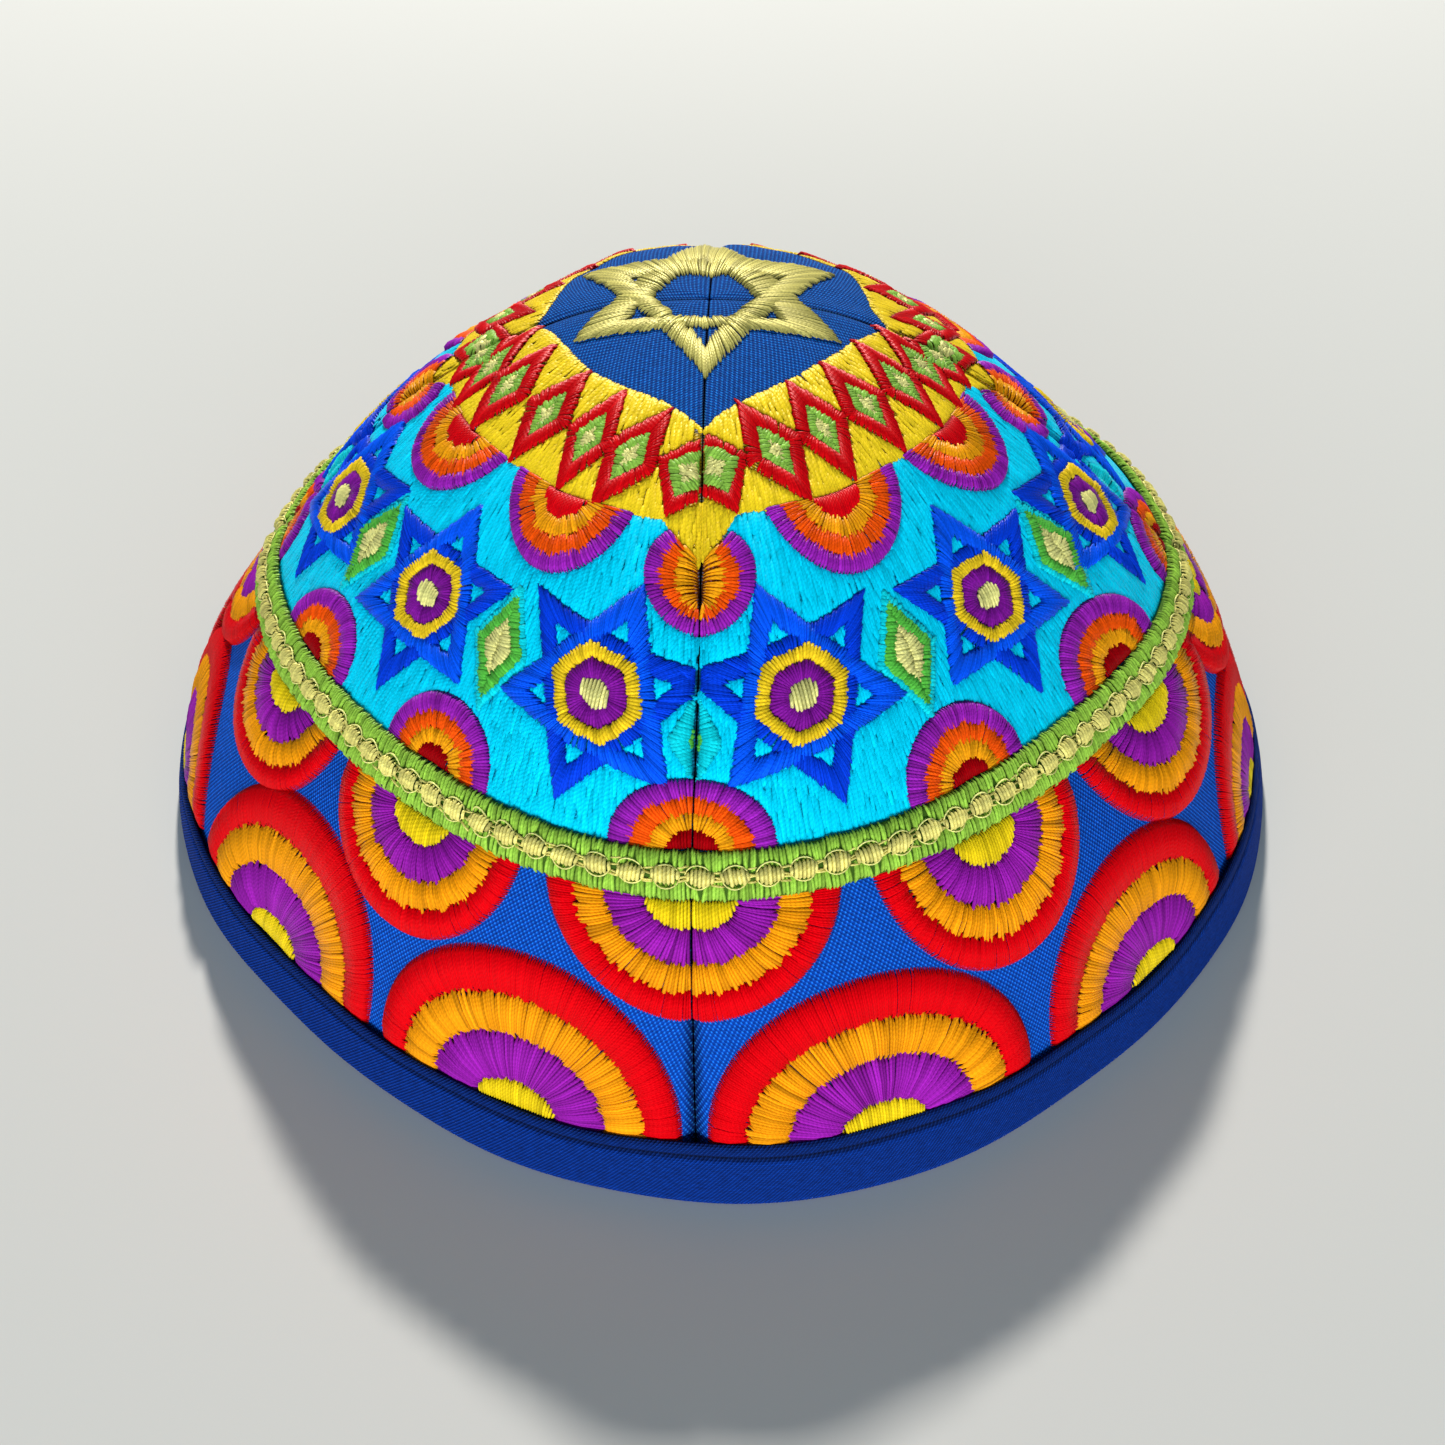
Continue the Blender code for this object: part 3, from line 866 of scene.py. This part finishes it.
def weave_material(name, roughness, pitches, twill, light, painted_gap_shade, painted_highlight):
    """Woven cloth: warp and weft from the cloth's own coordinates, with flecks, painted shade in the
    weave's gaps and painted highlights on the yarns' tops.
    """
    material, shader, nodes, links = new_material(name, roughness)
    shader.inputs["Specular IOR Level"].default_value = 0.12
    tint = nodes.new("ShaderNodeAttribute")
    tint.attribute_name = "tint"
    place = nodes.new("ShaderNodeAttribute")
    place.attribute_name = "cloth"
    parts = nodes.new("ShaderNodeSeparateXYZ")
    links.new(place.outputs["Vector"], parts.inputs[0])
    across = math_node(nodes, links, "MULTIPLY", parts.outputs["X"], 2 * math.pi / pitches[0])
    down = math_node(nodes, links, "MULTIPLY", parts.outputs["Y"], 2 * math.pi / pitches[1])
    if twill:
        rib = math_node(nodes, links, "SINE", math_node(nodes, links, "ADD", across, down))
        cross = math_node(nodes, links, "SINE", math_node(nodes, links, "MULTIPLY", down, 1.9))
        height = math_node(nodes, links, "MULTIPLY_ADD", cross, 0.3)
        links.new(rib, nodes[-1].inputs[2])
    else:
        warp = math_node(nodes, links, "SINE", across)
        weft = math_node(nodes, links, "SINE", down)
        height = math_node(nodes, links, "MULTIPLY", warp, weft)
    stretch = nodes.new("ShaderNodeVectorMath")
    stretch.operation = "MULTIPLY"
    stretch.inputs[1].default_value = (0.8, 3.0, 1.0)
    links.new(place.outputs["Vector"], stretch.inputs[0])
    fleck = nodes.new("ShaderNodeTexNoise")
    fleck.inputs["Scale"].default_value = 0.9
    fleck.inputs["Detail"].default_value = 4.0
    fleck.inputs["Roughness"].default_value = 0.75
    links.new(stretch.outputs[0], fleck.inputs["Vector"])
    # painted shade: darker in the weave's gaps and lighter on the yarns' tops, following the weave's
    # height
    ramp = nodes.new("ShaderNodeMapRange")
    ramp.inputs["From Min"].default_value = -0.5
    ramp.inputs["From Max"].default_value = 0.9
    ramp.inputs["To Min"].default_value = painted_gap_shade
    ramp.inputs["To Max"].default_value = light
    links.new(height, ramp.inputs["Value"])
    slub = nodes.new("ShaderNodeMapRange")
    slub.inputs["From Min"].default_value = 0.3
    slub.inputs["From Max"].default_value = 0.7
    slub.inputs["To Min"].default_value = 0.6
    slub.inputs["To Max"].default_value = 1.4
    links.new(fleck.outputs["Fac"], slub.inputs["Value"])
    shade = math_node(nodes, links, "MULTIPLY", ramp.outputs[0], slub.outputs[0])
    scale = nodes.new("ShaderNodeVectorMath")
    scale.operation = "SCALE"
    links.new(tint.outputs["Color"], scale.inputs[0])
    links.new(shade, scale.inputs["Scale"])
    # painted highlights: light points added on the yarns' tops in a colour of their own
    top = nodes.new("ShaderNodeMapRange")
    top.inputs["From Min"].default_value = 0.25
    top.inputs["From Max"].default_value = 1.0
    links.new(height, top.inputs["Value"])
    painted_sparkle = math_node(nodes, links, "MULTIPLY", top.outputs[0], slub.outputs[0])
    points = nodes.new("ShaderNodeVectorMath")
    points.operation = "SCALE"
    points.inputs[0].default_value = painted_highlight
    links.new(painted_sparkle, points.inputs["Scale"])
    total = nodes.new("ShaderNodeVectorMath")
    total.operation = "ADD"
    links.new(scale.outputs[0], total.inputs[0])
    links.new(points.outputs[0], total.inputs[1])
    links.new(total.outputs[0], shader.inputs["Base Color"])
    bump = nodes.new("ShaderNodeBump")
    bump.inputs["Strength"].default_value = 0.7
    bump.inputs["Distance"].default_value = 0.00015
    links.new(height, bump.inputs["Height"])
    links.new(bump.outputs[0], shader.inputs["Normal"])
    return material


thread_look = thread_material("embroidery_thread", 0.43, 0.0, 0.7)
gold_look = thread_material("gold_thread", 0.42, 0.1, 0.7)
cloth_look = weave_material("ground_cloth", 0.85, (0.62, 0.80), False, 1.2, 0.6,
                            (0.015, 0.17, 0.32))
cord_look = weave_material("braid_core", 0.85, (0.69, 0.90), False, 1.2, 0.7, (0.0, 0.0, 0.0))
tape_look = weave_material("binding_tape", 0.85, (0.55, 0.55), True, 1.2, 0.65,
                           (0.002, 0.012, 0.04))


def add_stitches(name, rows, material):
    points, tint, twist = stitch_arrays(rows)
    quads = strip_quads(len(rows), len(STATIONS), len(ACROSS))
    piece = add_mesh(name, points, quads, material)
    add_colour(piece.data, "tint", tint)
    add_vector(piece.data, "twist", twist)
    add_bake_map(piece.data, len(rows), len(STATIONS), len(ACROSS))
    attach(piece, "root")
    return piece


def quarter_of(rows):
    arc = (rows[:, 1] + rows[:, 3]) / 2
    middle = np.mod((rows[:, 0] + rows[:, 2]) / 2 - seam_turn(arc), 360)
    return (middle // 90).astype(int) % 4


QUARTERS = ("front_right", "back_right", "back_left", "front_left")
thread_rows = split_at_seams(np.vstack(stitch_rows["thread"]))
for quarter, panel in enumerate(QUARTERS):
    mine = thread_rows[quarter_of(thread_rows) == quarter]
    upper = np.maximum(mine[:, 1], mine[:, 3]) < BRAID_ARC
    add_stitches("upper_stitches_" + panel, mine[upper], thread_look)
    add_stitches("arch_stitches_" + panel, mine[~upper], thread_look)
gold_rows = np.vstack(stitch_rows["gold"])
add_stitches("gold_stitches", gold_rows, gold_look)

CLOTH_BLUE = linear(2, 80, 202)
CROWN_BLUE = linear(0, 74, 166)
LINING_BLUE = linear(10, 58, 135)
UNDER_YELLOW = linear(244, 196, 20)
UNDER_TURQUOISE = linear(0, 186, 236)
UNDER_AMBER = linear(206, 104, 10)
# painted shade: the dark ground in the slit where the seam runs through the seam fan's middle
SLIT_SHADE = linear(78, 24, 6)
TAPE_BLUE = linear(0, 49, 141)
BRAID_GREEN = linear(74, 110, 30)


def ground_tints(chart, azimuth, arc):
    """Colour of the ground cloth: plain at the crown and the foot, and as the thread between, with painted
    shade in the seam fan's slit and along the seams.
    """
    tints = np.tile(CLOTH_BLUE, (*arc.shape, 1))
    from_seam = radius(arc) * np.radians(np.minimum(azimuth, 90 - azimuth))
    for area, colour in (
        (arc < BRAID_ARC, UNDER_TURQUOISE),
        ((arc > 38) & (arc < 47) & (from_seam < 3.0), UNDER_AMBER),
        # painted shade in the seam fan's slit
        ((arc > 40) & (arc < 46) & (from_seam < 0.6), SLIT_SHADE),
        (arc < band_edge(chart, azimuth) - 0.5, UNDER_YELLOW),
        (arc < crown_edge(chart, azimuth) + 1.0, CROWN_BLUE),
    ):
        tints[area] = colour
    # painted shade in the seam gaps: the cloth's edges along both seams darkened
    tints[:, (0, -1)] *= 0.2
    return tints


def add_cloth(name, panel):
    """Ground cloth of one panel, with its inner face and its turned edges."""
    chart_name, seam, side = PANELS[panel]
    chart = CHARTS[chart_name]
    columns, lines = 96, 120
    edge = 0.10
    share = np.linspace(0, 1, columns)
    arc = np.linspace(0.4, float(arc_at_height(TAPE + GAP)), lines)
    inset = np.degrees(edge / np.maximum(radius(arc), 0.4))[:, None]
    azimuth = inset + (90 - 2 * inset) * share
    arcs = np.repeat(arc[:, None], columns, 1)
    turned = seam + side * azimuth + seam_turn(arcs)
    outer, _ = dome(turned, arcs, CLOTH_OUT)
    inner, _ = dome(turned, arcs, -WALL, seams=False)
    points = np.concatenate((outer.reshape(-1, 3), inner.reshape(-1, 3)))
    grid = strip_quads(1, lines, columns)
    flip = grid[:, ::-1]
    size = columns * lines
    outer_quads, inner_quads = (grid, flip + size) if side < 0 else (flip, grid + size)
    border = np.concatenate((
        np.arange(columns), np.arange(1, lines) * columns + columns - 1,
        (lines - 1) * columns + np.arange(columns - 2, -1, -1),
        np.arange(lines - 2, 0, -1) * columns))
    following = np.roll(border, -1)
    wall = np.stack((border, following, following + size, border + size), -1)
    wall = wall if side > 0 else wall[:, ::-1]
    piece = add_mesh(name, points, np.vstack((outer_quads, inner_quads, wall)), cloth_look)
    tint = ground_tints(chart, azimuth, arcs).reshape(-1, 3)
    add_colour(piece.data, "tint", np.concatenate((tint, np.tile(LINING_BLUE, (size, 1)))))
    across = np.radians(azimuth - 45) * radius(arcs)
    weave = np.stack((across, arcs, 0 * arcs), -1).reshape(-1, 3)
    add_vector(piece.data, "cloth", np.concatenate((weave, weave)))
    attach(piece, "root")
    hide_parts("panel_" + panel)


for panel in PANELS:
    add_cloth("cloth_" + panel, panel)


def add_ring(name, sections, material, tints, cloth):
    """Closed ring from sections, an array of azimuth steps by outline points."""
    steps, corners = sections.shape[:2]
    number = np.arange(steps * corners).reshape(steps, corners)
    following = np.roll(number, -1, 0)
    quads = np.stack((number, np.roll(number, -1, 1), np.roll(following, -1, 1), following), -1)
    piece = add_mesh(name, sections.reshape(-1, 3), quads.reshape(-1, 4), material)
    add_colour(piece.data, "tint", tints)
    add_vector(piece.data, "cloth", cloth)
    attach(piece, "root")
    return piece


def add_binding():
    """Folded tape: rounded folds, a stitched line below its top edge and a flat foot."""
    far_out, near_out = GAP + TAPE, GAP
    near_in = -WALL - GAP
    far_in = near_in - TAPE
    # height above the floor and distance out of the panels' face, both in mm, and painted light: painted
    # shade along the top of the tape and in the stitched groove, painted highlights on the ridge below the
    # groove and on the lower fold
    outline = (
        (TAPE_TOP - 0.35, near_out, 0.2), (TAPE_TOP, near_out + 0.15, 0.25),
        (TAPE_TOP + 0.05, far_out - 0.35, 0.4), (TAPE_TOP - 0.25, far_out, 0.65),
        (TAPE_TOP - 1.1, far_out + 0.05, 0.65), (TAPE_TOP - 1.4, far_out - 0.2, 0.4),
        (TAPE_TOP - 1.65, far_out - 0.45, 0.12), (TAPE_TOP - 1.9, far_out - 0.2, 0.5),
        (TAPE_TOP - 2.2, far_out + 0.05, 1.2), (TAPE_TOP - 2.6, far_out + 0.1, 1.0),
        (4.4, far_out + 0.15, 1.0),
        (2.6, far_out + 0.1, 1.0), (1.2, far_out, 1.0), (0.6, far_out - 0.1, 1.3),
        (0.2, far_out - 0.35, 1.5), (0.0, far_out - 0.8, 1.0), (0.0, far_in + 0.8, 1.0),
        (0.15, far_in + 0.35, 1.0), (0.5, far_in + 0.1, 1.0), (1.5, far_in, 1.0),
        (4.4, far_in, 1.0), (TAPE_TOP - 1.0, far_in, 1.0), (TAPE_TOP - 0.2, far_in + 0.1, 1.0),
        (TAPE_TOP, far_in + 0.5, 1.0), (TAPE_TOP - 0.3, near_in, 1.0), (4.4, near_in, 1.0),
        (TAPE, near_in, 1.0), (TAPE, near_out, 1.0), (4.4, near_out, 1.0),
    )
    steps = 480
    azimuth = np.arange(steps) / steps * 360 - 180
    turn = np.radians(azimuth)
    wave = 0.30 * np.sin(4 * turn + 1.1) + 0.22 * np.sin(7 * turn) + 0.12 * np.sin(19 * turn + 2)
    sections = np.zeros((steps, len(outline), 3))
    cloth = np.zeros((steps, len(outline), 3))
    tints = np.zeros((steps, len(outline), 3))
    way = 0.0
    for number, (height, out, painted_light) in enumerate(outline):
        if number:
            before = outline[number - 1]
            way += math.hypot(height - before[0], out - before[1])
        height = np.asarray(height + wave * (height / TAPE_TOP) ** 2)
        arc = arc_at_height(np.maximum(height, 0.0))
        points, normal = dome(azimuth, arc, 0.0, seams=False)
        level = normal * (1, 1, 0)
        level /= np.linalg.norm(level, axis=-1, keepdims=True)
        points = points + level * out * MM
        points[:, 2] = height * MM
        sections[:, number] = points
        cloth[:, number] = np.stack((turn * RIM_RADIUS, way + 0 * turn, 0 * turn), -1)
        tints[:, number] = painted_light * TAPE_BLUE
    piece = add_ring("binding", sections, tape_look, tints, cloth)
    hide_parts("rim_binding")


add_binding()


def add_braid():
    """Green braid: a soft core ring, crossed by short stitches along both its edges."""
    outline = ((-BRAID_HALF, 0.0), (-BRAID_HALF, 0.35), (-2.4, 0.65), (0.0, 0.75), (2.4, 0.65),
               (BRAID_HALF, 0.35), (BRAID_HALF, 0.0))
    steps = 1440
    azimuth = np.arange(steps) / steps * 360
    sections = np.stack([dome(azimuth, BRAID_ARC + down + 0 * azimuth, out)[0]
                         for down, out in outline], 1)[:, ::-1]
    tints = np.tile(BRAID_GREEN, (steps * len(outline), 1))
    cloth = np.zeros((steps * len(outline), 3))
    piece = add_ring("braid", sections, cord_look, tints, cloth)
    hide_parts("braid_trim")


ROSETTE_PITCH = 3.95
ROSETTE_WIDTH = 1.65        # half width
ROSETTE_HEIGHT = 1.25       # half height
BRAID_AROUND = 2 * math.pi * float(radius(BRAID_ARC))
ROSETTES = int(BRAID_AROUND / ROSETTE_PITCH)


def braid_stitches():
    """Rows of the green stitches along both edges, which reach farther in between the rosettes."""
    stitch_rows["thread"].clear()
    count = int(BRAID_AROUND / THREADS["green"][1])
    for way in (-1, 1):
        azimuth = (np.arange(count) + rng.uniform(0.3, 0.7, count)) / count * 360
        away = np.abs(azimuth / 360 * ROSETTES % 1 - 0.5) * 2
        slant = np.degrees(rng.normal(0.0, 0.25, count) / radius(BRAID_ARC))
        outer = way * (BRAID_HALF + rng.uniform(-0.1, 0.4, count))
        inner = way * (0.1 + 0.9 * away ** 1.5 + rng.uniform(-0.2, 0.3, count))
        sew(azimuth, BRAID_ARC + outer, azimuth + slant, BRAID_ARC + inner, "green", rise=0.75,
            base=0.05)
    return np.vstack(stitch_rows["thread"])


def rosette_stitches():
    """Gold satin down each rosette, and threads that run from one to the next."""
    stitch_rows["gold"].clear()
    strands = 7
    for number in range(ROSETTES):
        place = Place(number / ROSETTES * 360, BRAID_ARC + rng.normal(0, 0.08))
        x = np.linspace(-0.86, 0.86, strands) * ROSETTE_WIDTH
        half = ROSETTE_HEIGHT * (1 - (x / ROSETTE_WIDTH) ** 2) ** 0.4
        half = half * rng.uniform(0.85, 1.15, strands)
        lean = rng.normal(0, 0.15)
        place.sew(x - lean, -half, x + lean, half, "braid_gold", rise=0.85, base=0.65)
        y = np.array((-0.75, -0.25, 0.3, 0.8)) + rng.normal(0, 0.12, 4)
        start = ROSETTE_WIDTH - rng.uniform(0.2, 0.7, 4)
        end = ROSETTE_PITCH - ROSETTE_WIDTH + rng.uniform(0.2, 0.7, 4)
        place.sew(start, y, end, y + rng.normal(0, 0.3, 4), "braid_gold", rise=0.5, base=0.5,
                  flare=(0.6, 0.6))
    return np.vstack(stitch_rows["gold"])


def add_loops():
    """A fine thread laid round each rosette."""
    sides, steps = 5, 20
    tube = 0.10
    points, tints, twist = [], [], []
    angle = np.arange(steps) / steps * 2 * math.pi
    for number in range(ROSETTES):
        shift = rng.normal(0, 0.10, 2)
        skew = rng.normal(0, 0.15)
        x = (ROSETTE_WIDTH - 0.1) * np.cos(angle) + shift[0]
        y = (ROSETTE_HEIGHT + 0.2) * np.sin(angle) + skew * np.cos(angle) + shift[1]
        azimuth = number / ROSETTES * 360 + np.degrees(x / radius(BRAID_ARC))
        height = 1.0 - 0.2 * np.cos(2 * angle) + 0.1 * np.cos(3 * angle + number)
        middle, normal = dome(azimuth, BRAID_ARC + y, height)
        ahead = np.roll(middle, -1, 0) - np.roll(middle, 1, 0)
        ahead /= np.linalg.norm(ahead, axis=-1, keepdims=True)
        side = np.cross(normal, ahead)
        for corner in range(sides):
            around_tube = 2 * math.pi * corner / sides
            points.append(middle + MM * tube * (math.cos(around_tube) * side
                                                + math.sin(around_tube) * normal))
        glow = np.clip(1.1 + 0.1 * rng.normal(), 0.7, 1.3) * THREADS["pale_gold"][0]
        tints.append(np.tile(glow, (sides * steps, 1)))
        run = np.tile(angle * 1.6, sides)
        turn = np.repeat(np.arange(sides) / sides, steps)
        twist.append(np.stack((run, turn, 0 * run + number), -1))
    points = np.array(points).reshape(ROSETTES, sides, steps, 3)
    number = np.arange(ROSETTES * sides * steps).reshape(ROSETTES, sides, steps)
    quads = np.stack((number, np.roll(number, -1, 2), np.roll(np.roll(number, -1, 1), -1, 2),
                      np.roll(number, -1, 1)), -1).reshape(-1, 4)
    piece = add_mesh("gold_loops", points, quads, gold_look)
    add_colour(piece.data, "tint", np.concatenate(tints))
    add_vector(piece.data, "twist", np.concatenate(twist))
    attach(piece, "root")


add_braid()
add_stitches("braid_stitches", braid_stitches(), thread_look)
add_stitches("braid_rosettes", rosette_stitches(), gold_look)
add_loops()


def add_light(name, place, size, strength, colour):
    """Flat light, whose size is its width and height, turned to face the cap."""
    distance = math.sqrt(sum(step * step for step in place))
    light = bpy.data.lights.new(name, "AREA")
    light.shape = "RECTANGLE"
    light.size, light.size_y = size
    light.energy = strength * (math.pi * distance) ** 2
    light.color = colour
    lamp = bpy.data.objects.new(name, light)
    lamp.location = place
    lamp.rotation_euler = (math.acos(place[2] / distance), 0,
                           math.atan2(place[1], place[0]) + math.pi / 2)
    bpy.context.collection.objects.link(lamp)


def add_stage():
    """Plain pale floor, a light from behind and soft light from the sky and in front."""
    bpy.ops.mesh.primitive_plane_add(size=6.0, location=(0, 0, 0))
    floor = bpy.context.object
    floor.name = "floor"
    material, shader, _, _ = new_material("pale_floor", 0.95)
    shader.inputs["Base Color"].default_value = (0.62, 0.61, 0.58, 1)
    shader.inputs["Specular IOR Level"].default_value = 0.1
    floor.data.materials.append(material)
    world = bpy.data.worlds.new("soft_light")
    world.use_nodes = True
    world.node_tree.nodes["Background"].inputs["Color"].default_value = (0.48, 0.91, 1.17, 1)
    world.node_tree.nodes["Background"].inputs["Strength"].default_value = 0.14
    bpy.context.scene.world = world
    add_light("key", (-0.08, 1.16, 1.09), (0.10, 0.10), 1.23, (1.0, 0.97, 0.92))
    add_light("front_fill", (-0.06, -1.5, 0.31), (2.6, 0.5), 1.36, (0.95, 0.99, 1.02))


def add_camera():
    """The photograph's view, from above and just to the right of the front seam."""
    focal_share = 1720 / 1445       # focal length over the frame's width
    tilt, turn, roll = 42.685, 2.41, -0.54
    stand = np.array((-1.2, -204.03, 191.95)) * MM
    cosine, sine = math.cos(math.radians(turn)), math.sin(math.radians(turn))
    data = bpy.data.cameras.new("camera")
    data.sensor_width = 36.0
    data.lens = 36.0 * focal_share
    camera = bpy.data.objects.new("camera", data)
    camera.location = (stand[0] * cosine - stand[1] * sine,
                       stand[0] * sine + stand[1] * cosine, stand[2])
    camera.rotation_mode = "XYZ"
    from mathutils import Matrix
    facing = (Matrix.Rotation(math.radians(turn), 3, "Z")
              @ Matrix.Rotation(math.radians(90 - tilt), 3, "X")
              @ Matrix.Rotation(math.radians(roll), 3, "Z"))
    camera.rotation_euler = facing.to_euler()
    bpy.context.collection.objects.link(camera)
    bpy.context.scene.camera = camera


add_stage()
add_camera()
bpy.context.scene.view_settings.view_transform = "Standard"
